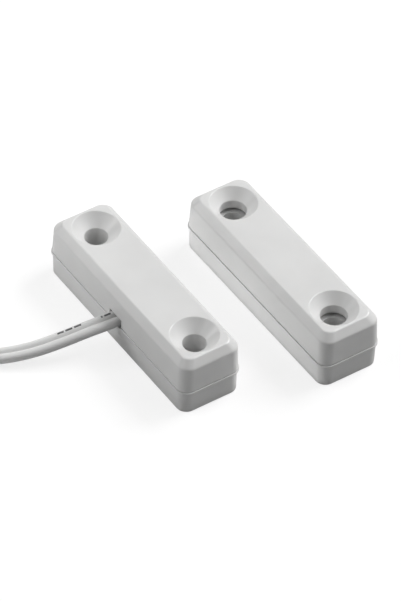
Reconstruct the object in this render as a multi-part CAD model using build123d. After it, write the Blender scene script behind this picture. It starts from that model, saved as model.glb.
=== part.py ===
from build123d import *
import math
import os

# Surface-mount magnetic door contact: a reed switch housing with a flat twin lead, and a magnet housing.
# Millimetres, +Z up from the mounting surface. The origin is the middle of the rectangle that the two
# housings cover. +X runs along the housings, and +Y points from the switch to the magnet.

# Outer shape, the same for both housings
LENGTH = 50.0
WIDTH = 14.3
HEIGHT = 13.3
SEAM_Z = 5.85  # the cover's lower edge
SEAM_GAP = 0.14
CORNER_R = 2.4
TOP_CORNER_R = 1.9
BEVEL_IN = 1.43
BEVEL_DOWN = 1.62
COVER_DRAFT = 0.22  # how far the cover leans in, a side, up to the bevel
BASE_STEP = 0.1  # how far the base stands in from the cover's lower edge, a side
BASE_DRAFT = 0.13
BROW_R = 0.8  # between the cover's sides and its bevel
TOP_R = 0.45
FLANGE_OUT = 0.18  # how far the base's top edge stands out from the cover's lower edge, a side
FLANGE_T = 0.45
FLANGE_R = 0.08
FOOT_R = 0.2
SINK_RIM_R = 0.25

# Shells
WALL = 1.3
FLOOR = 1.3
CEILING = 1.4
RIM_WALL = 0.8  # the base's inner rim that the cover slips over
RIM_TOP = 7.2
RIM_PLAY = 0.08
CAVITY_TOP = HEIGHT - CEILING
CAVITY_SHOULDER = 10.6

# Screw holes
HOLE_PITCH = 35.9
SINK_D = 10.1
SINK_SLOPE = 0.94  # depth over the narrowing of its radius
SWITCH_HOLE_D = 5.0
MAGNET_COVER_HOLE_D = 5.7
MAGNET_HOLE_D = 4.5
SINK_PAD_D = 9.4
SINK_PAD_Z = 9.2
SINK_PAD_TOP = 12.1
SLEEVE_D = 7.4
SLEEVE_FOOT_Z = 1.6
COLLAR_D = 9.4
COLLAR_TOP = 3.4
BOSS_TOP = 8.4
PLAY = 0.3  # between neighbours on different bodies

# Places of the two housings
SWITCH_AT = Vector(-4.3, -13.88, 0)
MAGNET_AT = Vector(4.3, 13.88, 0)

# Flat twin lead
LOBE_R = 1.0
LOBE_PITCH = 1.85  # between the two cores' centres
CORE_R = 0.92  # of a core once the two have been parted
LEAD_W = LOBE_PITCH + 2 * LOBE_R
LEAD_T = 2 * LOBE_R
LEAD_X = 0.25  # on the switch housing
LEAD_Z = 6.45
NOTCH_W = 4.3
NOTCH_TOP = 7.65
SPLIT_Y = -3.2  # where the two cores part, inside the switch housing

# Coil of the put-away lead, wound counter-clockwise in two layers
COIL_X = -9.0
COIL_Y = -74.6
COIL_OUTER_TURN_R = 21.3
COIL_INNER_TURN_R = 17.2
COIL_ENTRY_DEG = 146.0
COIL_TURNS = 3.1
LAYER_GAP = 0.05
LIFT = 0.12  # keeps the plain tube off the surface where it lies flat

# Route of the lead's middle, from inside the switch housing to the coil
ROUTE = [
    (-4.05, -17.08, 6.45),
    (-4.05, -21.80, 6.45),
    (-4.95, -26.50, 5.98),
    (-6.35, -32.00, 4.58),
    (-8.35, -37.80, 2.92),
    (-11.40, -43.80, 1.62),
    (-15.90, -50.40, 1.20),
    (-21.60, -56.70, 1.14),
]

# Reed switch and its board, on the switch housing
BOARD = (25.6, 6.2, 1.0)
BOARD_Y = 1.6
BOARD_Z = 3.2
PEG_X = 5.0
PEG_Y = 0.2
PEG_D = 1.2
REED_Y = 2.7
REED_Z = 5.7
CAPSULE_L = 14.2
CAPSULE_D = 2.2
CAPSULE_WALL = 0.32
SEAL_L = 1.5
BLADE_W = 1.2
BLADE_T = 0.22
BLADE_GAP = 0.2
BLADE_ROOT_X = CAPSULE_L / 2 - SEAL_L - 0.35
BLADE_TIP_X = -0.8
WIRE_D = 0.5
REED_HOLE_X = 11.6
STRAND_D = 0.8
STRAND_HOLE_X = 10.2
CORE_END_X = 7.8
CORE_Y = -0.2
CORE_TURN_R = 1.5
BEND_R = 0.8
TAIL_Z = 2.7  # how far the wires reach below the board
SOLDER_H = 0.7

# Cable clamp
CLAMP = (7.6, 1.5, 3.0)
CLAMP_Y = -4.1
CLAMP_Z = 5.3
CLAMP_LEG = 1.2

# Magnet, on the magnet housing
MAGNET = (25.4, 6.35, 6.35)
MAGNET_Z = 2.4
RIB_T = 0.9
RIB_H = 2.4
PAD_L = 22.0
PAD_W = 6.0

# Free end of the lead
END_CORE_L = 9.0
END_TIP_L = 6.0
END_SPREAD_DEG = 4.0
END_TURN_IN_DEG = 16.0

os.makedirs("parts", exist_ok=True)


def block(low, high, z_low, z_high, r_low, r_high):
    """A block between two rounded rectangles, one above the other."""
    foot = Pos(0, 0, z_low) * RectangleRounded(low[0], low[1], r_low)
    head = Pos(0, 0, z_high) * RectangleRounded(high[0], high[1], r_high)
    return loft([foot, head], ruled=True)


def inset(size, by):
    return size[0] - 2 * by, size[1] - 2 * by


def upright(x, y, z_low, z_high, diameter):
    """A round post from one height to another."""
    return Pos(x, y, (z_low + z_high) / 2) * Cylinder(diameter / 2, z_high - z_low)


def at_holes(shape):
    """The shape at both screw holes of a housing."""
    return [Pos(side * HOLE_PITCH / 2, 0, 0) * shape for side in (-1, 1)]


def edges_at(part, z):
    """The part's edges that lie flat at one height."""
    return part.edges().filter_by_position(Axis.Z, z - 0.01, z + 0.01)


def tube(points, radii, section_radius):
    """A round wire along straight runs joined by arcs."""
    path = FilletPolyline(*points, radius=radii) if radii else Line(*points)
    return sweep(Plane(path @ 0, z_dir=path % 0) * Circle(section_radius), path=path)


# ---- shells -----------------------------------------------------------------------------------------

COVER_FOOT = (LENGTH, WIDTH)
COVER_BROW = inset(COVER_FOOT, COVER_DRAFT)
COVER_TOP = inset(COVER_BROW, BEVEL_IN)
BROW_Z = HEIGHT - BEVEL_DOWN
CAVITY = inset(COVER_FOOT, WALL)
BASE_TOP = inset(COVER_FOOT, BASE_STEP)
BASE_FOOT = inset(BASE_TOP, BASE_DRAFT)
FLANGE = inset(COVER_FOOT, -FLANGE_OUT)
RIM = inset(CAVITY, RIM_PLAY)
POCKET = inset(RIM, RIM_WALL)
POCKET_R = 0.6


def cover_body():
    """The outer shape of a cover, bevelled all round, less its cavity."""
    wall = block(COVER_FOOT, COVER_BROW, SEAM_Z, BROW_Z, CORNER_R, CORNER_R)
    bevel = block(COVER_BROW, COVER_TOP, BROW_Z, HEIGHT, CORNER_R, TOP_CORNER_R)
    outer = fillet(edges_at(wall + bevel, BROW_Z), BROW_R)
    outer = fillet(edges_at(outer, HEIGHT), TOP_R)
    mouth = block(CAVITY, CAVITY, SEAM_Z - 1, RIM_TOP + PLAY, 1.3, 1.3)
    middle = block(inset(CAVITY, 0.25), inset(CAVITY, 0.6), RIM_TOP, CAVITY_SHOULDER, 1.2, 1.2)
    crown = block(inset(CAVITY, 0.6), inset(CAVITY, 1.8), CAVITY_SHOULDER, CAVITY_TOP, 1.2, 0.8)
    return outer - mouth - middle - crown


def sink(hole_d):
    """The cutter of a countersunk hole, right through a housing."""
    depth = SINK_SLOPE * (SINK_D - hole_d) / 2
    cone = Pos(0, 0, HEIGHT - depth / 2) * Cone(hole_d / 2, SINK_D / 2, depth)
    return cone + upright(0, 0, -1, HEIGHT, hole_d)


def switch_cover():
    """The cover of the switch, whose sleeves line its screw holes down to the base's floor."""
    pad = upright(0, 0, SINK_PAD_Z, SINK_PAD_TOP, SINK_PAD_D)
    sleeve = upright(0, 0, SLEEVE_FOOT_Z, SINK_PAD_Z, SLEEVE_D)
    cover = cover_body() + at_holes(pad) + at_holes(sleeve)
    cover -= at_holes(sink(SWITCH_HOLE_D))
    notch_h = NOTCH_TOP - SEAM_Z + 1
    notch = Pos(LEAD_X, -WIDTH / 2, NOTCH_TOP - notch_h / 2) * Box(NOTCH_W, 4, notch_h)
    return soften_sinks(cover - notch)


def magnet_cover():
    """The cover of the magnet, with short sleeves that end above the base's bosses."""
    pad = upright(0, 0, SINK_PAD_Z, SINK_PAD_TOP, SINK_PAD_D)
    cover = cover_body() + at_holes(pad)
    return soften_sinks(cover - at_holes(sink(MAGNET_COVER_HOLE_D)))


def soften_sinks(cover):
    """Breaks the rim of each countersink, where the mould leaves a soft edge."""
    rims = cover.edges().filter_by(GeomType.CIRCLE)
    rims = rims.filter_by(lambda e: abs(e.radius - SINK_D / 2) < 0.01)
    return fillet(rims, SINK_RIM_R)


def base_body():
    """A tray with a thin flange at its top edge and an inner rim that the cover slips over."""
    shoulder_z = SEAM_Z - SEAM_GAP
    tray = block(BASE_FOOT, BASE_TOP, 0, shoulder_z, CORNER_R - 0.1, CORNER_R)
    tray = fillet(edges_at(tray, 0), FOOT_R)
    flange_r = CORNER_R + FLANGE_OUT
    flange = block(FLANGE, FLANGE, shoulder_z - FLANGE_T, shoulder_z, flange_r, flange_r)
    tray += fillet(edges_at(flange, shoulder_z) + edges_at(flange, shoulder_z - FLANGE_T), FLANGE_R)
    rim = block(RIM, RIM, shoulder_z - 1, RIM_TOP, 1.2, 1.2)
    rim = chamfer(edges_at(rim, RIM_TOP), 0.25)
    pocket = block(POCKET, POCKET, FLOOR, HEIGHT, POCKET_R, POCKET_R)
    return tray + rim - pocket


def switch_base():
    """The switch's base: collars round the sleeves, board pegs, and a rest for the lead."""
    collar = upright(0, 0, FLOOR - 0.2, COLLAR_TOP, COLLAR_D)
    collar -= upright(0, 0, FLOOR, COLLAR_TOP + 1, SLEEVE_D + 2 * PLAY)
    base = base_body() + at_holes(collar)
    base -= at_holes(upright(0, 0, -1, FLOOR + 1, SWITCH_HOLE_D))
    for x in (-PEG_X, PEG_X):
        base += upright(x, PEG_Y, FLOOR - 0.2, BOARD_Z, 2.4)
        base += upright(x, PEG_Y, BOARD_Z, BOARD_Z + BOARD[2] + 0.4, PEG_D)
    rest_z = LEAD_Z - LOBE_R
    notch_h = HEIGHT - rest_z
    base -= Pos(LEAD_X, -WIDTH / 2 + 1, rest_z + notch_h / 2) * Box(NOTCH_W, 4, notch_h)
    rest_h = CLAMP_Z - FLOOR + 0.2
    base += Pos(LEAD_X, CLAMP_Y, CLAMP_Z - rest_h / 2) * Box(CLAMP[0] + 0.8, 2.0, rest_h)
    return base - clamp_legs(0.05)


def magnet_base():
    """The magnet's base: two screw bosses and a cradle of ribs for the magnet."""
    base = base_body() + at_holes(upright(0, 0, FLOOR - 0.2, BOSS_TOP, SLEEVE_D))
    base -= at_holes(upright(0, 0, -1, HEIGHT, MAGNET_HOLE_D))
    rib_y = MAGNET[1] / 2 + RIB_T / 2 + 0.02
    for x in (-8.0, 0.0, 8.0):
        base += Pos(x, 0, (FLOOR + MAGNET_Z) / 2 - 0.1) * Box(RIB_T, 9.0, MAGNET_Z - FLOOR + 0.2)
        for side in (-1, 1):
            base += Pos(x, side * rib_y, MAGNET_Z + RIB_H / 2 - 0.1) * Box(RIB_T, RIB_T, RIB_H + 0.2)
    stop_x = MAGNET[0] / 2 + RIB_T / 2 + 0.02
    stop_h = MAGNET_Z + RIB_H - FLOOR + 0.2
    for side in (-1, 1):
        base += Pos(side * stop_x, 0, MAGNET_Z + RIB_H - stop_h / 2) * Box(RIB_T, 5.0, stop_h)
    return base


# ---- reed switch, board and wires -------------------------------------------------------------------

def reed_board():
    board = Pos(0, BOARD_Y, BOARD_Z + BOARD[2] / 2) * Box(*BOARD)
    board = fillet(board.edges().filter_by(Axis.Z), 0.4)
    for side in (-1, 1):
        board -= upright(side * PEG_X, PEG_Y, 0, 9, PEG_D + 0.1)
        board -= upright(side * REED_HOLE_X, REED_Y, 0, 9, WIRE_D + 0.1)
        board -= upright(side * STRAND_HOLE_X, CORE_Y, 0, 9, STRAND_D + 0.1)
    return board


def reed_capsule():
    """The sealed glass tube, open only where the leads pass."""
    glass = Rot(0, 90, 0) * Cylinder(CAPSULE_D / 2, CAPSULE_L)
    glass = fillet(glass.edges(), 0.7)
    hollow_r = CAPSULE_D / 2 - CAPSULE_WALL
    hollow = Rot(0, 90, 0) * Cylinder(hollow_r, CAPSULE_L - 2 * SEAL_L)
    glass -= fillet(hollow.edges(), 0.4)
    glass -= Rot(0, 90, 0) * Cylinder(WIRE_D / 2, CAPSULE_L + 1)
    return Pos(0, REED_Y, REED_Z) * glass


def reed_wire(side, root_x):
    """A reed's round lead, from inside its seal and down through the board."""
    far_x = side * REED_HOLE_X
    corner = (far_x, REED_Y, REED_Z)
    return tube([(root_x, REED_Y, REED_Z), corner, (far_x, REED_Y, TAIL_Z)], [BEND_R], WIRE_D / 2)


def blade(x_from, x_to, z_middle):
    return Pos((x_from + x_to) / 2, REED_Y, z_middle) * Box(abs(x_to - x_from), BLADE_W, BLADE_T)


BLADE_Z = (BLADE_GAP + BLADE_T) / 2


def fixed_reed():
    """The fixed blade, flattened from the same wire as its lead."""
    return reed_wire(-1, -BLADE_ROOT_X) + blade(-BLADE_ROOT_X - 0.1, -BLADE_TIP_X, REED_Z - BLADE_Z)


def moving_reed_blade():
    return blade(BLADE_TIP_X, BLADE_ROOT_X, REED_Z + BLADE_Z)


def moving_reed_lead():
    return reed_wire(1, BLADE_ROOT_X + 0.1)


def core_start(side):
    return LEAD_X + side * LOBE_PITCH / 2


def wire_core(side):
    """An insulated core, from where the lead splits to where it is stripped."""
    corner = (core_start(side), CORE_Y, LEAD_Z)
    points = [(core_start(side), SPLIT_Y, LEAD_Z), corner, (side * CORE_END_X, CORE_Y, LEAD_Z)]
    return tube(points, [CORE_TURN_R], CORE_R)


def wire_strands(side):
    """The bared copper of a core, bent down into the board."""
    hole_x = side * STRAND_HOLE_X
    corner = (hole_x, CORE_Y, LEAD_Z)
    return tube([(side * CORE_END_X, CORE_Y, LEAD_Z), corner, (hole_x, CORE_Y, TAIL_Z)], [BEND_R], STRAND_D / 2)


def solder_joints():
    """A cone of solder round each of the four wires, on top of the board."""
    top_z = BOARD_Z + BOARD[2]
    joints = []
    for side in (-1, 1):
        for x, y, wire_d in ((REED_HOLE_X, REED_Y, WIRE_D), (STRAND_HOLE_X, CORE_Y, STRAND_D)):
            cone = Pos(side * x, y, top_z + SOLDER_H / 2) * Cone(wire_d / 2 + 0.6, wire_d / 2 + 0.12, SOLDER_H)
            joints.append(cone - upright(side * x, y, 0, 9, wire_d))
    return Compound(children=joints)


# ---- lead -------------------------------------------------------------------------------------------

def clamp_legs(play):
    """The clamp's two legs, which plug into the base beside the lead."""
    legs = []
    for side in (-1, 1):
        x = LEAD_X + side * (CLAMP[0] - CLAMP_LEG) / 2
        size = CLAMP_LEG + 2 * play
        legs.append(Pos(x, CLAMP_Y, CLAMP_Z - 0.5) * Box(size, 1.0 + 2 * play, 1.6 + 2 * play))
    return legs


def cable_clamp():
    """A saddle over the lead, with two grip ribs that press on it."""
    saddle = Pos(LEAD_X, CLAMP_Y, CLAMP_Z + CLAMP[2] / 2) * Box(*CLAMP)
    saddle = fillet(saddle.edges().filter_by(Axis.Y).sort_by(Axis.Z)[-2:], 0.6)
    return saddle + clamp_legs(0) - lead_prism(CLAMP_Y - 2, CLAMP_Y + 2)


def lead_section():
    """The flat lead across: two cores side by side, with a groove between them."""
    lobes = [Pos(side * LOBE_PITCH / 2, 0) * Circle(LOBE_R) for side in (-1, 1)]
    web = Rectangle(LOBE_PITCH, 1.1)
    return lobes[0] + lobes[1] + web


def lead_prism(y_from, y_to):
    """A straight length of the lead along Y, on the switch housing."""
    face = Plane((LEAD_X, y_from, LEAD_Z), x_dir=(1, 0, 0), z_dir=(0, 1, 0)) * lead_section()
    return extrude(face, y_to - y_from)


def route_points():
    """The route in full: the points chosen above, then the run that meets the coil."""
    angle = math.radians(COIL_ENTRY_DEG)
    x = COIL_X + COIL_OUTER_TURN_R * math.cos(angle)
    y = COIL_Y + COIL_OUTER_TURN_R * math.sin(angle)
    return [Vector(*p) for p in ROUTE] + [Vector(x, y, LOBE_R + LIFT)]


def corner_radii(points):
    """The arc that fits each corner: 0.45 of its shorter run over the tangent of half its turn."""
    radii = []
    for a, b, c in zip(points, points[1:], points[2:]):
        run = min((b - a).length, (c - b).length)
        half_turn = math.radians((b - a).get_angle(c - b)) / 2
        radii.append(0.45 * run / math.tan(half_turn))
    return radii


def lead_path():
    points = route_points()
    return FilletPolyline(*points, radius=corner_radii(points))


def cable_run():
    path = lead_path()
    start = Plane(path @ 0, x_dir=(1, 0, 0), z_dir=path % 0)
    return sweep(start * lead_section(), path=path)


def cable_coil():
    """The outer shape of the coil: a wide lower layer and a narrower one on it."""
    inner = COIL_INNER_TURN_R - LEAD_W / 2
    outer = COIL_OUTER_TURN_R + LEAD_W / 2
    upper_z = LEAD_T + LAYER_GAP
    top_z = upper_z + LEAD_T
    outline = Polyline(
        (inner, 0), (outer, 0), (outer, upper_z), (outer - 2.05, top_z), (inner + 2.05, top_z), (inner, upper_z),
        close=True,
    )
    ring = revolve(make_face(Plane.XZ * outline), Axis.Z)
    return Pos(COIL_X, COIL_Y, 0) * ring


def end_frame():
    """Where the lead's free end lies: on top of the coil, turned in a little from its turns."""
    angle = math.radians(COIL_ENTRY_DEG + 360 * COIL_TURNS)
    middle_r = (COIL_INNER_TURN_R + COIL_OUTER_TURN_R) / 2
    out = Vector(math.cos(angle), math.sin(angle), 0)
    at = Vector(COIL_X, COIL_Y, 2 * LEAD_T + LAYER_GAP + LOBE_R) + out * middle_r
    along = Plane(at, x_dir=out, z_dir=(-out.Y, out.X, 0))
    return along.location * Rot(0, -END_TURN_IN_DEG, 0)


def end_rods(diameter, start, length):
    """Two rods side by side, one on each core's line at the free end."""
    rods = []
    for side in (-1, 1):
        core = end_frame() * Pos(side * LOBE_PITCH / 2, 0, 0) * Rot(0, side * END_SPREAD_DEG, 0)
        rods.append(core * Pos(side * 0.1, 0, start + length / 2) * Cylinder(diameter / 2, length))
    return Compound(children=rods)


# ---- magnet -----------------------------------------------------------------------------------------

def bar_magnet():
    magnet = Pos(0, 0, MAGNET_Z + MAGNET[2] / 2) * Box(*MAGNET)
    return chamfer(magnet.edges(), 0.25)


def magnet_pad():
    """The foam strip under the cover, just clear of the magnet."""
    low = MAGNET_Z + MAGNET[2] + 0.2
    return Pos(0, 0, (low + CAVITY_TOP) / 2) * Box(PAD_L, PAD_W, CAVITY_TOP - low)


# ---- write ------------------------------------------------------------------------------------------

def on(place, shape):
    return Pos(*place) * shape


RUN = cable_run()

PARTS = {
    "switch_base": on(SWITCH_AT, switch_base()),
    "switch_cover": on(SWITCH_AT, switch_cover()),
    "reed_board": on(SWITCH_AT, reed_board()),
    "reed_capsule": on(SWITCH_AT, reed_capsule()),
    "fixed_reed": on(SWITCH_AT, fixed_reed()),
    "moving_reed_blade": on(SWITCH_AT, moving_reed_blade()),
    "moving_reed_lead": on(SWITCH_AT, moving_reed_lead()),
    "solder_joints": on(SWITCH_AT, solder_joints()),
    "wire_core_left": on(SWITCH_AT, wire_core(-1)),
    "wire_core_right": on(SWITCH_AT, wire_core(1)),
    "wire_strands_left": on(SWITCH_AT, wire_strands(-1)),
    "wire_strands_right": on(SWITCH_AT, wire_strands(1)),
    "cable_clamp": on(SWITCH_AT, cable_clamp()),
    "cable_run": RUN,
    "cable_coil": cable_coil() - RUN,
    "core_ends": end_rods(2 * LOBE_R, 0, END_CORE_L),
    "tinned_ends": end_rods(STRAND_D, END_CORE_L, END_TIP_L),
    "magnet_base": on(MAGNET_AT, magnet_base()),
    "magnet_cover": on(MAGNET_AT, magnet_cover()),
    "bar_magnet": on(MAGNET_AT, bar_magnet()),
    "magnet_pad": on(MAGNET_AT, magnet_pad()),
}

for name, shape in PARTS.items():
    export_step(shape, f"parts/{name}.step")

run_length = lead_path().length
print("lead corner radii:", [round(r, 1) for r in corner_radii(route_points())])
print(f"lead run: {run_length:.1f} mm, volume {RUN.volume:.1f}, "
      f"section x length {run_length * lead_section().area:.1f}")
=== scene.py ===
import math

import bpy
from mathutils import Matrix, Vector


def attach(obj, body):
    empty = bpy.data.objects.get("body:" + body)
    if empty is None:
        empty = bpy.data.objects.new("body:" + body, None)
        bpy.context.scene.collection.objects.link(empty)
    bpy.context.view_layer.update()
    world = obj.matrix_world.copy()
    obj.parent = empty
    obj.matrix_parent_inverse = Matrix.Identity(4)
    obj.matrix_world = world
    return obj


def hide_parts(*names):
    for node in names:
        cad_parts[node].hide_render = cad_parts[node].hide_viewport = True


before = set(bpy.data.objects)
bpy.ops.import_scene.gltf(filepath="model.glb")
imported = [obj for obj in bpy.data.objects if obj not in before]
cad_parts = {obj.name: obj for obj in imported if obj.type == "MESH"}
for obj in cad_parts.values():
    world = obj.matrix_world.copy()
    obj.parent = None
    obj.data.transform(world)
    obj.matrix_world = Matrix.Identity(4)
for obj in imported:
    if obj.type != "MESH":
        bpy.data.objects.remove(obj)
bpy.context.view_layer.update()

# Door contact sensor: two bevelled housings, a flat twin lead and what is inside them.
# Everything is in the frame of the CAD model. Lengths named here are in millimetres unless a comment says
# otherwise, and MM turns them into Blender's metres.
MM = 0.001
UP = Vector((0, 0, 1))
scene = bpy.context.scene
scene.view_settings.view_transform = "Standard"


# ---- camera -----------------------------------------------------------------------------------------

CAMERA_AT = Vector((0.544820, -0.390817, 0.668813))  # metres
CAMERA_TARGET = Vector((-0.004622, 0.000198, 0))  # metres
CAMERA_ROLL = math.radians(2.3486)
CAMERA_LENS = 279.298
CAMERA_SENSOR = 36
CAMERA_CLIP = (0.05, 10)  # metres


def make_camera():
    """The main view: a long lens from above, with a slight roll."""
    back = (CAMERA_AT - CAMERA_TARGET).normalized()
    right = UP.cross(back).normalized()
    up = back.cross(right)
    x_axis = right * math.cos(CAMERA_ROLL) + up * math.sin(CAMERA_ROLL)
    y_axis = up * math.cos(CAMERA_ROLL) - right * math.sin(CAMERA_ROLL)
    turned = Matrix((x_axis, y_axis, back)).transposed().to_4x4()
    data = bpy.data.cameras.new("camera")
    data.sensor_width = CAMERA_SENSOR
    data.lens = CAMERA_LENS
    data.clip_start, data.clip_end = CAMERA_CLIP
    camera = bpy.data.objects.new("camera", data)
    camera.matrix_world = Matrix.Translation(CAMERA_AT) @ turned
    scene.collection.objects.link(camera)
    scene.camera = camera


make_camera()


# ---- mesh helpers -----------------------------------------------------------------------------------

ROUND_SIDES = 28  # faces round a turned piece or a tube
MIN_GAP = 0.02 * MM  # the closest that two points of an even line may lie, in metres


def smoothstep(value, low, high):
    """0 below low, 1 above high, and a smooth rise between them."""
    t = min(1.0, max(0.0, (value - low) / (high - low)))
    return t * t * (3 - 2 * t)


def add_piece(name, verts, faces, materials, body, slot, face_slots=None, smooth=True):
    """A mesh piece from vertices in metres, riding on a body."""
    mesh = bpy.data.meshes.new(name)
    mesh.from_pydata([tuple(v) for v in verts], [], faces)
    for material in materials:
        mesh.materials.append(material)
    mesh.polygons.foreach_set("use_smooth", [smooth] * len(mesh.polygons))
    if face_slots:
        mesh.polygons.foreach_set("material_index", face_slots)
    mesh.update()
    piece = bpy.data.objects.new(name, mesh)
    scene.collection.objects.link(piece)
    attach(piece, body)
    return piece


def skin(rings, round_again=False, flip=False):
    """A closed solid through rings of points, with its two ends capped or coming round to its start."""
    count = len(rings[0])
    verts = [point for ring in rings for point in ring]
    faces = []
    for i in range(len(rings) if round_again else len(rings) - 1):
        step = count if i < len(rings) - 1 else count - len(verts)
        for j in range(count):
            a, b = i * count + j, i * count + (j + 1) % count
            faces.append((a, a + step, b + step, b) if flip else (a, b, b + step, a + step))
    if not round_again:
        faces.append(tuple(range(count))[::-1])
        faces.append(tuple(range(len(verts) - count, len(verts))))
    return verts, faces


def merged(parts):
    """One list of vertices and faces from several."""
    verts, faces = [], []
    for part_verts, part_faces in parts:
        start = len(verts)
        verts += part_verts
        faces += [tuple(i + start for i in face) for face in part_faces]
    return verts, faces


def frames_along(line, side_hint=None):
    """Each point of a line with its tangent, side and up; without a hint, the side stays level."""
    found = []
    side = side_hint
    for i, point in enumerate(line):
        tangent = (line[min(i + 1, len(line) - 1)] - line[max(i - 1, 0)]).normalized()
        level = UP.cross(tangent) if side_hint is None else side - tangent * side.dot(tangent)
        side = level.normalized()
        found.append((point, tangent, side, tangent.cross(side)))
    return found


def sweep(line, outline, side_hint=None):
    """An outline swept along a line, with its two ends capped."""
    rings = []
    for point, _, side, up in frames_along(line, side_hint):
        rings.append([point + side * x + up * y for x, y in outline])
    return skin(rings)


def circle(radius, count):
    """Points round a circle, from the side towards up."""
    turns = [math.tau * i / count for i in range(count)]
    return [(radius * math.cos(turn), radius * math.sin(turn)) for turn in turns]


def even_line(line, step, extra=()):
    """The same line with points a step apart, and at the extra distances too."""
    at = [0.0]
    for a, b in zip(line, line[1:]):
        at.append(at[-1] + (b - a).length)
    count = max(2, round(at[-1] / step))
    wanted = sorted([at[-1] * i / count for i in range(count + 1)] + list(extra))
    wanted = [w for i, w in enumerate(wanted) if i == 0 or w - wanted[i - 1] > MIN_GAP]
    points, k = [], 0
    for w in wanted:
        while k < len(at) - 2 and at[k + 1] < w:
            k += 1
        t = (w - at[k]) / (at[k + 1] - at[k])
        points.append(line[k].lerp(line[k + 1], min(1.0, t)))
    return points, wanted


# ---- materials --------------------------------------------------------------------------------------

class Paint:
    """A material with a Principled shader, and short ways to add the nodes that feed it.

    Noise and cell scales are per metre, in each object's own coordinates. Bump distances are in metres.
    """

    def __init__(self, name, **values):
        self.material = bpy.data.materials.new(name)
        self.material.use_nodes = True
        self.tree = self.material.node_tree
        self.shader = self.tree.nodes["Principled BSDF"]
        for socket, value in values.items():
            self.shader.inputs[socket.replace("_", " ")].default_value = value
        self.place = self.tree.nodes.new("ShaderNodeTexCoord").outputs["Object"]

    def feed(self, socket, value):
        """Link a node's output to a socket, or set the socket to a plain value."""
        if isinstance(value, bpy.types.NodeSocket):
            self.tree.links.new(value, socket)
        else:
            socket.default_value = value

    def node(self, kind, inputs=None, **settings):
        node = self.tree.nodes.new(kind)
        for key, value in settings.items():
            setattr(node, key, value)
        for key, value in (inputs or {}).items():
            self.feed(node.inputs[key], value)
        return node

    def noise(self, scale, detail=3.0, roughness=0.5, stretch=None):
        place = self.place
        if stretch:
            place = self.node("ShaderNodeMapping", {"Vector": place, "Scale": stretch}).outputs["Vector"]
        values = {"Vector": place, "Scale": scale, "Detail": detail, "Roughness": roughness}
        return self.node("ShaderNodeTexNoise", values).outputs["Fac"]

    def cells(self, scale):
        return self.node("ShaderNodeTexVoronoi", {"Vector": self.place, "Scale": scale}).outputs["Distance"]

    def ranged(self, value, low, high, from_low=0.3, from_high=0.7):
        """A value's stretch from from_low to from_high, spread from low to high."""
        inputs = {0: value, 1: from_low, 2: from_high, 3: low, 4: high}
        return self.node("ShaderNodeMapRange", inputs).outputs[0]

    def maths(self, operation, a, b=0.0):
        return self.node("ShaderNodeMath", {0: a, 1: b}, operation=operation).outputs[0]

    def ramp(self, value, *stops):
        """A colour from a value, by stops of position and colour."""
        node = self.node("ShaderNodeValToRGB", {"Fac": value})
        elements = node.color_ramp.elements
        while len(elements) < len(stops):
            elements.new(1.0)
        for element, (position, colour) in zip(elements, stops):
            element.position = position
            element.color = (*colour, 1)
        return node.outputs["Color"]

    def blend(self, factor, under, over):
        """A colour socket under a plain colour, which shows where the factor is high."""
        inputs = {0: factor, 6: under, 7: (*over, 1)}
        return self.node("ShaderNodeMix", inputs, data_type="RGBA", blend_type="MIX").outputs[2]

    def bump(self, height, distance, strength=1.0, under=None):
        inputs = {"Height": height, "Distance": distance, "Strength": strength}
        if under:
            inputs["Normal"] = under
        return self.node("ShaderNodeBump", inputs).outputs["Normal"]

    def subsurface(self, weight, radius, scale):
        self.shader.inputs["Subsurface Weight"].default_value = weight
        self.shader.inputs["Subsurface Radius"].default_value = radius
        self.shader.inputs["Subsurface Scale"].default_value = scale

    def finish(self, colour, roughness, normal=None):
        """Feed the shader, and give back the material."""
        self.feed(self.shader.inputs["Base Color"], colour)
        self.feed(self.shader.inputs["Roughness"], roughness)
        if normal:
            self.feed(self.shader.inputs["Normal"], normal)
        return self.material


def abs_plastic(name, tone):
    """Satin moulded plastic: an even off-white with faint clouding, flow marks and a fine matt texture."""
    paint = Paint(name, IOR=1.53)
    paint.subsurface(weight=0.2, radius=(1.0, 0.95, 0.9), scale=0.9 * MM)
    cloud = paint.noise(scale=90, detail=3, roughness=0.55)
    flow = paint.noise(scale=260, detail=2, roughness=0.5, stretch=(0.25, 1.0, 1.0))
    speck = paint.noise(scale=9000, detail=2, roughness=0.6)
    fine = paint.noise(scale=5200, detail=3, roughness=0.6)
    dark = tuple(c * 0.965 for c in tone)
    light = tuple(min(1.0, c * 1.02) for c in tone)
    speck_tone = (0.62, 0.62, 0.61)
    specks = paint.ranged(speck, low=0.0, high=0.05, from_low=0.35, from_high=0.75)
    colour = paint.blend(specks, paint.ramp(cloud, (0.32, dark), (0.68, light)), speck_tone)
    flow_rough = paint.ranged(flow, low=0.3, high=0.38)
    rough = paint.maths("ADD", flow_rough, paint.ranged(speck, low=-0.02, high=0.03))
    wave = paint.bump(flow, distance=0.03 * MM, strength=0.25)
    return paint.finish(colour, rough, paint.bump(fine, distance=0.004 * MM, strength=0.6, under=wave))


def pvc(name, tone):
    """Soft insulation: smooth, with faint clouding and a few rubs."""
    paint = Paint(name, IOR=1.52)
    paint.subsurface(weight=0.08, radius=(1.0, 0.9, 0.85), scale=0.5 * MM)
    cloud = paint.noise(scale=160, detail=3, roughness=0.5)
    rub = paint.noise(scale=700, detail=4, roughness=0.65)
    fine = paint.noise(scale=3600, detail=3, roughness=0.6)
    dark = tuple(c * 0.95 for c in tone)
    rough = paint.ranged(rub, low=0.3, high=0.46, from_low=0.3, from_high=0.75)
    wave = paint.bump(cloud, distance=0.05 * MM, strength=0.3)
    normal = paint.bump(fine, distance=0.006 * MM, strength=0.5, under=wave)
    return paint.finish(paint.ramp(cloud, (0.3, dark), (0.7, tone)), rough, normal)


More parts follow.
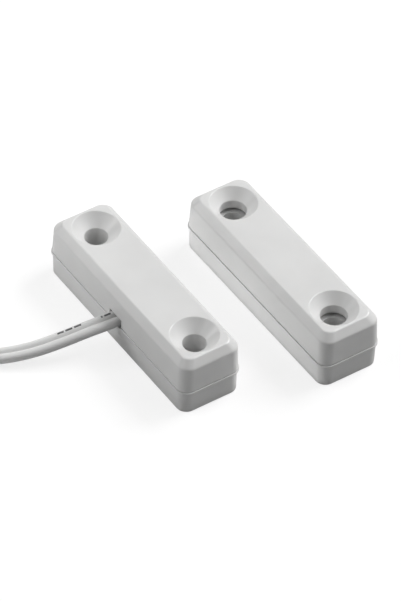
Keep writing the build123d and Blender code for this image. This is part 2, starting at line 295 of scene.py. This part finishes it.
def ink(name):
    """The lead's printed marks, worn a little thin."""
    paint = Paint(name)
    wear = paint.noise(scale=4200, detail=3, roughness=0.6)
    colour = paint.ramp(wear, (0.42, (0.045, 0.045, 0.05)), (0.72, (0.22, 0.22, 0.22)))
    return paint.finish(colour, paint.ranged(wear, low=0.45, high=0.62))


def metal(name, dark, light, rough, scale=1500, stretch=None):
    """Drawn or dipped metal: streaked tone and roughness over a fine uneven surface."""
    paint = Paint(name, Metallic=1.0)
    grain = paint.noise(scale, detail=4, roughness=0.6, stretch=stretch)
    colour = paint.ramp(grain, (0.3, dark), (0.7, light))
    roughness = paint.ranged(grain, low=rough[0], high=rough[1])
    return paint.finish(colour, roughness, paint.bump(grain, distance=0.01 * MM, strength=0.6))


def glass(name):
    """Greenish capsule glass with a faint draw in its thickness."""
    paint = Paint(name, IOR=1.5, Transmission_Weight=1.0)
    draw = paint.noise(scale=700, detail=2, roughness=0.5, stretch=(0.2, 1, 1))
    colour = paint.ramp(draw, (0.3, (0.78, 0.9, 0.82)), (0.7, (0.86, 0.95, 0.9)))
    rough = paint.ranged(draw, low=0.02, high=0.06)
    return paint.finish(colour, rough, paint.bump(draw, distance=0.01 * MM, strength=0.3))


def circuit_board(name, dark, light):
    """Green solder resist over woven glass, with the weave just showing."""
    thread_pitch = 0.42 * MM
    thread_tone = (0.06, 0.22, 0.1)
    paint = Paint(name, IOR=1.5)
    axes = paint.node("ShaderNodeSeparateXYZ", {"Vector": paint.place}).outputs
    threads = []
    for axis in ("X", "Y"):
        wave = paint.maths("SINE", paint.maths("MULTIPLY", axes[axis], math.tau / thread_pitch))
        threads.append(paint.maths("MULTIPLY", wave, wave))
    weave = paint.maths("ADD", threads[0], threads[1])
    cloud = paint.noise(scale=500, detail=3, roughness=0.5)
    showing = paint.ranged(weave, low=0.0, high=0.3, from_low=0.0, from_high=2.0)
    colour = paint.blend(showing, paint.ramp(cloud, (0.3, dark), (0.7, light)), thread_tone)
    rough = paint.ranged(cloud, low=0.24, high=0.38)
    return paint.finish(colour, rough, paint.bump(weave, distance=0.008 * MM, strength=0.4))


def nylon(name):
    """Natural nylon, slightly see-through, with a faint mould texture."""
    paint = Paint(name, IOR=1.53)
    paint.subsurface(weight=0.2, radius=(1.0, 0.9, 0.7), scale=1.2 * MM)
    cloud = paint.noise(scale=420, detail=3, roughness=0.5)
    fine = paint.noise(scale=4000, detail=3, roughness=0.6)
    colour = paint.ramp(cloud, (0.3, (0.66, 0.64, 0.56)), (0.7, (0.76, 0.74, 0.66)))
    rough = paint.ranged(cloud, low=0.36, high=0.5)
    return paint.finish(colour, rough, paint.bump(fine, distance=0.006 * MM, strength=0.5))


def ferrite(name):
    """Sintered magnet: dark, ground faces with fine pores, each pore's pit darkened with painted shade."""
    # Near-black painted shade for the pits of the pores
    pore_shade_tone = (0.012, 0.012, 0.013)
    paint = Paint(name, Metallic=0.35)
    grain = paint.noise(scale=2600, detail=4, roughness=0.65, stretch=(0.3, 1, 1))
    pores = paint.cells(scale=2400)
    ground = paint.ramp(grain, (0.3, (0.035, 0.035, 0.038)), (0.72, (0.085, 0.085, 0.09)))
    # Painted shade: the colour goes towards near black in the middle of each pore, where the bump below sinks
    # a pit
    pore_shade = paint.ranged(pores, low=0.5, high=0.0, from_low=0.02, from_high=0.16)
    rough = paint.ranged(grain, low=0.42, high=0.66)
    pits = paint.ranged(pores, low=0.0, high=1.0, from_low=0.0, from_high=0.2)
    under = paint.bump(pits, distance=0.02 * MM, strength=0.5)
    normal = paint.bump(grain, distance=0.01 * MM, strength=0.6, under=under)
    return paint.finish(paint.blend(pore_shade, ground, pore_shade_tone), rough, normal)


def foam(name):
    """Closed-cell foam: a dark sponge of small bubbles, each bubble's hollow darkened with painted shade."""
    paint = Paint(name)
    bubbles = paint.cells(scale=2600)
    # Painted shade: darkest towards each cell's middle, where the bump sinks a hollow
    colour = paint.ramp(bubbles, (0.05, (0.018, 0.018, 0.02)), (0.5, (0.07, 0.07, 0.075)))
    rough = paint.ranged(bubbles, low=0.95, high=0.8, from_low=0.0, from_high=0.6)
    return paint.finish(colour, rough, paint.bump(bubbles, distance=0.12 * MM, strength=0.9))


SHELL_TONE = (0.70, 0.70, 0.695)
BASE_SHADE = 0.99  # the bases are this much of the covers' tone
# Metals: name, dark and light tone, roughness from and to
mats = {
    "cover": abs_plastic("cover_abs", SHELL_TONE),
    "base": abs_plastic("base_abs", tuple(c * BASE_SHADE for c in SHELL_TONE)),
    "lead": pvc("lead_pvc", (0.68, 0.68, 0.675)),
    "ink": ink("lead_ink"),
    "tin": metal("tinned_wire", (0.5, 0.5, 0.51), (0.74, 0.74, 0.75), (0.22, 0.42)),
    "copper": metal("copper_wire", (0.62, 0.27, 0.15), (0.86, 0.46, 0.3), (0.2, 0.38)),
    "solder": metal("solder_alloy", (0.52, 0.52, 0.53), (0.78, 0.78, 0.8), (0.12, 0.34), scale=900),
    "reed": metal("nickel_iron", (0.4, 0.38, 0.34), (0.6, 0.57, 0.52), (0.24, 0.4), scale=3000,
                  stretch=(0.1, 1, 1)),
    "pad": metal("plated_pad", (0.72, 0.55, 0.28), (0.86, 0.7, 0.4), (0.22, 0.36), scale=2000),
    "glass": glass("capsule_glass"),
    "board": circuit_board("board_resist", dark=(0.016, 0.105, 0.042), light=(0.03, 0.16, 0.07)),
    "nylon": nylon("clamp_nylon"),
    "ferrite": ferrite("ferrite"),
    "foam": foam("pad_foam"),
    "trace": circuit_board("trace_resist", dark=(0.03, 0.2, 0.085), light=(0.05, 0.27, 0.12)),
    "tie": pvc("tie_pvc", (0.62, 0.63, 0.64)),
}


# ---- lead -------------------------------------------------------------------------------------------

LOBE_R = 1.0
LOBE_PITCH = 1.85
GROOVE_R = 0.12
LOBE_STEPS = 20
LEAD_STEP = 0.75
SPLINE_STEPS = 10  # points of a spline's line for each of its control points
INKED = (27, 28)  # the two strips of faces along the left lobe's top that carry the marks
# Printed marks, as distances from the route's first point and lengths: plain strokes, in groups
MARKS = ((4.35, 1.5), (6.25, 0.35), (10.85, 1.5), (12.75, 1.5), (14.6, 1.4))
MARK_PITCH = 128
MARK_GROUPS = 4
# The route of the lead's middle, from inside the switch housing to where it meets its coil
ROUTE = [
    (-4.05, -17.08, 6.45),
    (-4.05, -21.80, 6.45),
    (-4.95, -26.50, 5.98),
    (-6.35, -32.00, 4.58),
    (-8.35, -37.80, 2.92),
    (-11.40, -43.80, 1.62),
    (-15.90, -50.40, 1.20),
    (-21.60, -56.70, 1.14),
]
# The coil: angles in degrees are counted on through all its turns
COIL_AT = Vector((-9.0, -74.6, 0))
COIL_START = 146
COIL_END = 1262
COIL_STEP = 15
OUTER_R, INNER_R, UPPER_R = 21.3, 17.2, 19.25
LAYER_Z = (1.02, 3.07, 5.12)
INWARD_OVER = (450, 506)  # the lead passes from the outer turn to the inner one
CLIMB_OVER = ((768, 814), (1088, 1134))  # it climbs to the second layer and to the third
OUTWARD_OVER = (812, 860)  # it moves out to lie between the two turns below
TIE_AT = 660
TIE_LIFT = 0.32  # how much the tie's strip under the coil lifts it
TIE_LIFT_OVER = (8, 40)  # degrees either side of the tie


def coil_place(angle):
    """Radius and height of the wound lead at an angle."""
    radius = OUTER_R - (OUTER_R - INNER_R) * smoothstep(angle, *INWARD_OVER)
    radius += (UPPER_R - INNER_R) * smoothstep(angle, *OUTWARD_OVER)
    height = LAYER_Z[0]
    for below, above, climb in zip(LAYER_Z, LAYER_Z[1:], CLIMB_OVER):
        height += (above - below) * smoothstep(angle, *climb)
    off_tie = abs((angle - TIE_AT + 180) % 360 - 180)
    return radius, height + TIE_LIFT * (1 - smoothstep(off_tie, *TIE_LIFT_OVER))


def coil_point(angle, grow=1.0):
    """The lead's middle at an angle of the coil; grow divides its radius."""
    radius, height = coil_place(angle)
    radius /= grow
    turn = math.radians(angle)
    return COIL_AT + Vector((radius * math.cos(turn), radius * math.sin(turn), height))


def coil_points():
    """Control points of the coil, 24 a turn, set out so that the spline has the wanted radius."""
    points = []
    angle = COIL_START
    while angle < COIL_END - COIL_STEP / 2:
        points.append(coil_point(angle, math.cos(math.radians(COIL_STEP / 2))))
        angle += COIL_STEP
    points.append(coil_point(COIL_END))
    return points


def spline_line(name, points):
    """The smooth line of a NURBS spline with these control points, in millimetres in and metres out."""
    curve = bpy.data.curves.new(name, "CURVE")
    curve.dimensions = "3D"
    curve.resolution_u = SPLINE_STEPS
    spline = curve.splines.new("NURBS")
    spline.points.add(len(points) - 1)
    for knot, point in zip(spline.points, points):
        knot.co = (*(Vector(point) * MM), 1)
    spline.order_u = 3
    spline.use_endpoint_u = True
    holder = bpy.data.objects.new(name, curve)
    scene.collection.objects.link(holder)
    mesh = bpy.data.meshes.new_from_object(holder)
    line = [v.co.copy() for v in mesh.vertices]
    bpy.data.objects.remove(holder)
    bpy.data.curves.remove(curve)
    bpy.data.meshes.remove(mesh)
    return line


def lead_outline():
    """The flat lead across: two round lobes that meet in a small rounded groove, above and below."""
    half = LOBE_PITCH / 2
    rise = math.sqrt((LOBE_R + GROOVE_R) ** 2 - half ** 2)
    tangent = math.atan2(rise, half)
    outline = []
    for side in (1, -1):
        for i in range(LOBE_STEPS + 1):
            turn = (math.pi - tangent) * (2 * i / LOBE_STEPS - 1)
            outline.append((side * (half + LOBE_R * math.cos(turn)), side * LOBE_R * math.sin(turn)))
        for i in (1, 0, -1):
            turn = (math.pi / 2 - tangent) * i / 2
            across = side * GROOVE_R * math.sin(turn)
            outline.append((across, side * (rise - GROOVE_R * math.cos(turn))))
    return outline


def mark_spans():
    """Where the printed marks start and end along the lead in metres, the same group over and over."""
    spans = []
    for group in range(MARK_GROUPS):
        for start, size in MARKS:
            spans.append(((start + group * MARK_PITCH) * MM, (start + size + group * MARK_PITCH) * MM))
    return spans


def make_lead():
    """The lead, one mesh along the spline, with its printed marks as faces of a second material."""
    line = spline_line("lead_route", [Vector(p) for p in ROUTE] + coil_points())
    marks = mark_spans()
    line, at = even_line(line, LEAD_STEP * MM, [edge for mark in marks for edge in mark])
    outline = [(x * MM, y * MM) for x, y in lead_outline()]
    verts, faces = sweep(line, outline)
    face_slots = []
    for i in range(len(line) - 1):
        middle = (at[i] + at[i + 1]) / 2
        marked = any(low < middle < high for low, high in marks)
        face_slots += [1 if marked and j in INKED else 0 for j in range(len(outline))]
    face_slots += [0, 0]  # the two caps
    paints = [mats["lead"], mats["ink"]]
    lead = add_piece("lead", verts, faces, paints, "switch_half", "lead_insulation", face_slots)
    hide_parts("cable_run", "cable_coil")
    return lead, line


lead, lead_line = make_lead()


# ---- bare wire and the lead's free end --------------------------------------------------------------

STRAND_R = 0.127
STRAND_SIDES = 10
STRAND_APART = 2.02  # from the middle strand to those round it, in strand radii
END_CORE = 9.0
END_TIP = 6.0
END_STEP = 0.25
END_ROUND = 0.12
END_ROUND_STEPS = 4
CORE_FIT = 0.995  # a parted core's radius over the lobe's, so that it starts inside the lead
TIP_HIDDEN = 0.6  # how far the tinned tip reaches back into its core
TINNED_LAY = 9
# The parted cores turn in together and then spread: angles, and the distances that each takes
TURN_IN = math.radians(16)
TURN_IN_OVER = (-2, 6)
SPREAD = math.radians(4)
SPREAD_OVER = (0, 4)
SPREAD_MORE = 0.8
SPREAD_MORE_OVER = (5, 14)
NEARLY = 1e-6  # an allowance for rounding


def strands(line, strand_r, lay, side_hint):
    """Seven strands along a line, six of them laid round the middle one; lay is the length of one turn."""
    rings = frames_along(line, side_hint)
    parts = [sweep(line, circle(strand_r, STRAND_SIDES), side_hint)]
    for k in range(6):
        path, run = [], 0.0
        for i, (point, _, side, up) in enumerate(rings):
            run += (point - rings[i - 1][0]).length if i else 0.0
            turn = math.tau * (k / 6 + run / lay)
            path.append(point + (side * math.cos(turn) + up * math.sin(turn)) * strand_r * STRAND_APART)
        parts.append(sweep(path, circle(strand_r, STRAND_SIDES), side_hint))
    return merged(parts)


def rounded_tube(line, radius, round_r):
    """A round tube whose far end has a rounded edge."""
    frames = frames_along(line)
    stations = [(point, side, up, radius) for point, _, side, up in frames]
    last, tangent, side, up = frames[-1]
    for i in range(1, END_ROUND_STEPS + 1):
        turn = math.pi / 2 * i / END_ROUND_STEPS
        ahead = last + tangent * round_r * math.sin(turn)
        stations.append((ahead, side, up, radius - round_r * (1 - math.cos(turn))))
    rings = []
    for point, side, up, ring_r in stations:
        rings.append([point + side * x + up * y for x, y in circle(ring_r, ROUND_SIDES)])
    return skin(rings)


def end_line(side_sign, start_at, length):
    """A stretch of one core's middle at the free end, which turns in and parts from its neighbour."""
    tangent = (lead_line[-1] - lead_line[-2]).normalized()
    inward = UP.cross(tangent).normalized()
    point = lead_line[-1] + inward * side_sign * LOBE_PITCH / 2 * MM
    line, run = [], 0.0
    while run <= start_at + length + NEARLY:
        if run >= start_at - NEARLY:
            line.append(point.copy())
        turn = TURN_IN * smoothstep(run, *TURN_IN_OVER)
        turn += side_sign * SPREAD * smoothstep(run, *SPREAD_OVER)
        turn += side_sign * SPREAD * smoothstep(run, *SPREAD_MORE_OVER) * SPREAD_MORE
        heading = tangent * math.cos(turn) + inward * math.sin(turn)
        point = point + heading * END_STEP * MM
        run += END_STEP
    return line


def make_ends():
    """The two parted cores at the lead's free end, and their tinned tips."""
    cores, tips = [], []
    for side in (-1, 1):
        core = end_line(side, 0, END_CORE - END_ROUND)
        cores.append(rounded_tube(core, LOBE_R * CORE_FIT * MM, END_ROUND * MM))
        tip = end_line(side, END_CORE - TIP_HIDDEN, END_TIP + TIP_HIDDEN)
        tips.append(strands(tip, STRAND_R * MM, TINNED_LAY * MM, UP))
    core_piece = add_piece("lead_core_ends", *merged(cores), [mats["lead"]], "switch_half", "lead_insulation")
    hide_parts("core_ends")
    tip_piece = add_piece("lead_tinned_tips", *merged(tips), [mats["tin"]], "switch_half", "solder")
    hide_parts("tinned_ends")
    return core_piece, tip_piece


lead_core_ends, lead_tinned_tips = make_ends()


# ---- twist tie round the coil -----------------------------------------------------------------------

# The tie's way round the turns and its twisted tail, as radius from the coil's middle and height
TIE_LOOP = ((15.10, 0.16), (23.40, 0.16), (23.42, 2.42), (21.45, 4.56), (17.05, 4.56), (15.08, 2.42))
TIE_TAIL = ((15.2, 3.4), (14.2, 4.3), (12.2, 3.6), (10.0, 1.9), (7.8, 0.75), (5.9, 0.62))
TIE_BEND = 0.7
TIE_BEND_STEPS = 8
# The tie across, a flat strip with a wire down its middle, and the two strips of its tail back to back
STRIP = ((-1.3, 0.0), (-0.42, 0.0), (0.42, 0.0), (1.3, 0.0), (1.3, 0.11),
         (0.42, 0.12), (0.2, 0.28), (-0.2, 0.28), (-0.42, 0.12), (-1.3, 0.11))
TWO_STRIPS = ((-0.85, -0.16), (-0.3, -0.42), (0.0, -0.2), (0.3, -0.42), (0.85, -0.16),
              (0.85, 0.16), (0.3, 0.42), (0.0, 0.2), (-0.3, 0.42), (-0.85, 0.16))
TAIL_STEP = 0.2
TAIL_TURNS = 3.2
TAIL_SIZE = 0.8
TAIL_START = 0.35  # the tail's size where it leaves the band, over its full size
TAIL_GROWS_OVER = 1.2


def bent_loop(points):
    """A closed line along the sides of an outline, with its corners bent round."""
    found = []
    for i, corner in enumerate(points):
        bend = []
        for neighbour in (points[i - 1], points[(i + 1) % len(points)]):
            share = min(0.5, TIE_BEND / math.dist(neighbour, corner))
            bend.append(tuple(c + (n - c) * share for n, c in zip(neighbour, corner)))
        start, end = bend
        for k in range(TIE_BEND_STEPS + 1):
            t = k / TIE_BEND_STEPS
            ends = zip(start, corner, end)
            found.append(tuple((1 - t) ** 2 * a + 2 * t * (1 - t) * c + t * t * b for a, c, b in ends))
    return found


def make_tie():
    """A plastic twist tie: a strip round the turns of the coil, and its two ends twisted together."""
    turn = math.radians(TIE_AT)
    out = Vector((math.cos(turn), math.sin(turn), 0))
    along = Vector((-out.y, out.x, 0))

    loop = bent_loop(TIE_LOOP)
    rings = []
    for i, (radius, height) in enumerate(loop):
        ahead, behind = loop[(i + 1) % len(loop)], loop[i - 1]
        run = Vector((ahead[0] - behind[0], ahead[1] - behind[1])).normalized()
        ring = []
        for across, rise in STRIP:
            place = COIL_AT + out * (radius + run.y * rise) + UP * (height - run.x * rise) + along * across
            ring.append(place * MM)
        rings.append(ring)
    band = skin(rings, round_again=True, flip=True)

    tail = spline_line("tie_tail", [(COIL_AT + out * r + UP * z) for r, z in TIE_TAIL])
    tail, at = even_line(tail, TAIL_STEP * MM)
    rings = []
    for i, (point, _, side, up) in enumerate(frames_along(tail, along)):
        spin = math.tau * TAIL_TURNS * at[i] / at[-1]
        grow = TAIL_START + (1 - TAIL_START) * smoothstep(at[i], 0, TAIL_GROWS_OVER * MM)
        ring = []
        for x, y in TWO_STRIPS:
            u = (x * math.cos(spin) - y * math.sin(spin)) * grow
            v = (x * math.sin(spin) + y * math.cos(spin)) * grow
            ring.append(point + side * u * TAIL_SIZE * MM + up * v * TAIL_SIZE * MM)
        rings.append(ring)
    tie = merged([band, skin(rings)])
    return add_piece("coil_tie", *tie, [mats["tie"]], "switch_half", "lead_insulation")


coil_tie = make_tie()


# ---- board details ----------------------------------------------------------------------------------

# Places are from the middle of the switch housing, and those along X are the same on both sides
SWITCH_AT = Vector((-4.3, -13.88, 0))
BOARD_TOP = 4.2
REED_HOLE = (11.6, 2.7)
STRAND_HOLE = (10.2, -0.2)
REED_WIRE_R = 0.25
STRANDS_R = 0.39
SUNK = 0.02  # how far the pads reach into the board
PAD_R = 0.98
PAD_TOP = BOARD_TOP + 0.035
PAD_EDGE_R, PAD_EDGE_DROP = 0.96, 0.01
PAD_HOLE_GAP = 0.03
FILLET_R = 0.86
FILLET_H = 0.95
FILLET_STEPS = 12
FILLET_CURVE = 2.4
FILLET_OVERLAP = 0.08  # how far the solder reaches into its wire
TRACE_CORNER = (11.6, 1.2)
TRACE_RISE = 0.004
TRACE_SECTION = ((-0.4, -0.02), (0.4, -0.02), (0.4, 0.012), (0.36, 0.02), (-0.36, 0.02), (-0.4, 0.012))
# The bared strands bend down from their core into the board: places along X and up
STRAND_BEND = ((7.6, 6.45), (9.3, 6.45), (10.2, 6.45), (10.2, 5.6), (10.2, 4.4), (10.2, 2.7))
BARE_STEP = 0.2
BARE_LAY = 7


def lathe(profile, centre):
    """A closed solid turned about a vertical line, from its outline of radius and height."""
    rings = []
    for radius, height in profile:
        around = circle(radius, ROUND_SIDES)
        rings.append([(SWITCH_AT + Vector((centre[0] + x, centre[1] + y, height))) * MM for x, y in around])
    return skin(rings, round_again=True)


def pad_profile(wire_r):
    hole_r = wire_r + PAD_HOLE_GAP
    return [(PAD_R, BOARD_TOP - SUNK), (PAD_R, PAD_TOP - PAD_EDGE_DROP), (PAD_EDGE_R, PAD_TOP),
            (hole_r, PAD_TOP), (hole_r, BOARD_TOP - SUNK)]


def fillet_profile(wire_r):
    """Solder that climbs its wire in a hollow curve."""
    inner_r = wire_r - FILLET_OVERLAP
    profile = [(inner_r, PAD_TOP - PAD_EDGE_DROP)]
    for i in range(FILLET_STEPS + 1):
        spread = (FILLET_R - wire_r) * (1 - i / FILLET_STEPS) ** FILLET_CURVE
        profile.append((wire_r + spread, PAD_TOP + FILLET_H * i / FILLET_STEPS))
    return profile + [(inner_r, PAD_TOP + FILLET_H)]


def make_board_details():
    """Plated pads, traces under the resist, solder fillets and stranded tails on the reed board."""
    pads, fillets, traces = [], [], []
    section = [(x * MM, y * MM) for x, y in TRACE_SECTION]
    for side in (-1, 1):
        for (x, y), wire_r in ((REED_HOLE, REED_WIRE_R), (STRAND_HOLE, STRANDS_R)):
            pads.append(lathe(pad_profile(wire_r), (side * x, y)))
            fillets.append(lathe(fillet_profile(wire_r), (side * x, y)))
        line = []
        for x, y in (REED_HOLE, TRACE_CORNER, STRAND_HOLE):
            line.append((SWITCH_AT + Vector((side * x, y, BOARD_TOP + TRACE_RISE))) * MM)
        traces.append(sweep(line, section))
    add_piece("board_pads", *merged(pads), [mats["pad"]], "switch_half", "copper")
    add_piece("board_traces", *merged(traces), [mats["trace"]], "switch_half", "board", smooth=False)
    joints = add_piece("solder_fillets", *merged(fillets), [mats["solder"]], "switch_half", "solder")
    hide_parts("solder_joints")
    for side, name in ((-1, "left"), (1, "right")):
        bend = [SWITCH_AT + Vector((side * x, STRAND_HOLE[1], z)) for x, z in STRAND_BEND]
        line, _ = even_line(spline_line("strand_route", bend), BARE_STEP * MM)
        tail = strands(line, STRAND_R * MM, BARE_LAY * MM, Vector((0, 1, 0)))
        piece = add_piece(f"strands_{name}", *tail, [mats["copper"]], "switch_half", "copper")
        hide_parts(f"wire_strands_{name}")


make_board_details()


# ---- finish of the CAD nodes ------------------------------------------------------------------------

NODE_PAINT = {
    "switch_base": "base", "switch_cover": "cover", "magnet_base": "base", "magnet_cover": "cover",
    "reed_board": "board", "reed_capsule": "glass", "fixed_reed": "reed", "moving_reed_blade": "reed",
    "moving_reed_lead": "reed", "solder_joints": "solder", "wire_core_left": "lead", "wire_core_right": "lead",
    "wire_strands_left": "copper", "wire_strands_right": "copper", "cable_clamp": "nylon",
    "core_ends": "lead", "tinned_ends": "tin", "bar_magnet": "ferrite", "magnet_pad": "foam",
}
for node, paint in NODE_PAINT.items():
    for holder in bpy.data.objects[node].material_slots:
        holder.material = mats[paint]


# ---- floor and lights -------------------------------------------------------------------------------

# Lengths in this section are in metres and powers in watts
FLOOR_REACH = 3.0
FLOOR_TONES = (0.24, 0.26)
FLOOR_GLOW = 0.77
FLOOR_SHINE = 0.1
BOUNCE_TONES = (0.44, 0.46)
BOUNCE_HEIGHT = -0.00005
GLOW_HEIGHT = -0.00002
LIGHT_DISTANCE = 0.9
# Large lights that face the origin: name, compass angle and elevation in degrees, size and power
LIGHTS = (
    ("key", 90, 45, (0.5, 0.5), 7.3),
    ("right_high", 50, 60, (0.5, 0.5), 1.49),
    ("right_mid", 45, 35, (0.4, 0.4), 0.42),
    ("left_high", 250, 60, (0.4, 0.4), 0.77),
    ("left_spot", 262, 44, (0.26, 0.2), 0.65),
    ("left_mid", 225, 40, (0.4, 0.4), 1.13),
    ("left_low", 235, 12, (0.5, 0.3), 1.07),
)
# Small lights near the object: name, place, target and power
NEAR_LIGHTS = (
    ("magnet_side", (-0.13, -0.01, 0.05), (-0.008, 0.007, 0.006), 0.011),
    ("lead_end", (-0.07, -0.075, 0.06), (-0.012, -0.042, 0.002), 0.013),
)
NEAR_SIZE = (0.03, 0.03)
# Glow from the floor: name, from and to along X and along Y, and power
GLOWS = (
    ("glow_gap_far", -0.03, 0.002, -0.0065, 0.0065, 0.0009),
    ("glow_gap_near", 0.002, 0.03, -0.0065, 0.0065, 0.00075),
    ("glow_left", -0.1, 0.06, -0.22, -0.0215, 0.009),
    ("glow_left_far", -0.1, -0.005, -0.12, -0.0215, 0.0048),
)


def floor_plane(name, paint, tones, height):
    """A large matt sheet with a very faint unevenness of tone."""
    dark, light = tones
    uneven = paint.noise(scale=6, detail=2, roughness=0.5)
    colour = paint.ramp(uneven, (0.3, (dark, dark, dark)), (0.7, (light, light, light)))
    far = FLOOR_REACH
    corners = [(-far, -far, height), (far, -far, height), (far, far, height), (-far, far, height)]
    mesh = bpy.data.meshes.new(name)
    mesh.from_pydata(corners, [], [(0, 1, 2, 3)])
    mesh.materials.append(paint.finish(colour, roughness=0.8))
    plane = bpy.data.objects.new(name, mesh)
    scene.collection.objects.link(plane)
    return plane


def make_floor():
    """A white floor that the camera sees, lit a little from within, and a grey one that lights the object."""
    white = Paint("floor_paint", Specular_IOR_Level=FLOOR_SHINE, Emission_Color=(1, 1, 1, 1),
                  Emission_Strength=FLOOR_GLOW)
    seen = floor_plane("floor", white, FLOOR_TONES, 0.0)
    seen.visible_diffuse = False
    seen.visible_glossy = False
    seen.visible_shadow = False
    bounce = floor_plane("floor_bounce", Paint("bounce_paint"), BOUNCE_TONES, BOUNCE_HEIGHT)
    bounce.visible_camera = False


def area_light(name, position, target, size, energy):
    """A rectangular light that faces its target and that the camera doesn't see."""
    data = bpy.data.lights.new(name, "AREA")
    data.shape = "RECTANGLE"
    data.size, data.size_y = size
    data.energy = energy
    light = bpy.data.objects.new(name, data)
    light.location = position
    direction = Vector(target) - Vector(position)
    light.rotation_euler = direction.to_track_quat("-Z", "Y").to_euler()
    light.visible_camera = False
    scene.collection.objects.link(light)
    return light


def make_lights():
    for name, angle, rise, size, power in LIGHTS:
        turn, tilt = math.radians(angle), math.radians(rise)
        towards = Vector((math.cos(turn) * math.cos(tilt), math.sin(turn) * math.cos(tilt), math.sin(tilt)))
        area_light(name, towards * LIGHT_DISTANCE, (0, 0, 0), size, power)
    for name, position, target, power in NEAR_LIGHTS:
        area_light(name, position, target, NEAR_SIZE, power)
    for name, x_from, x_to, y_from, y_to, power in GLOWS:
        middle = Vector(((x_from + x_to) / 2, (y_from + y_to) / 2, GLOW_HEIGHT))
        glow = area_light(name, middle, middle + UP, (x_to - x_from, y_to - y_from), power)
        glow.rotation_euler = (math.pi, 0, 0)  # straight up, with the size's sides along X and Y


def make_world():
    """No light but the lamps' and the floor's."""
    world = bpy.data.worlds.new("world")
    world.use_nodes = True
    background = world.node_tree.nodes["Background"]
    background.inputs["Color"].default_value = (1, 1, 1, 1)
    background.inputs["Strength"].default_value = 0.0
    scene.world = world


make_floor()
make_lights()
make_world()
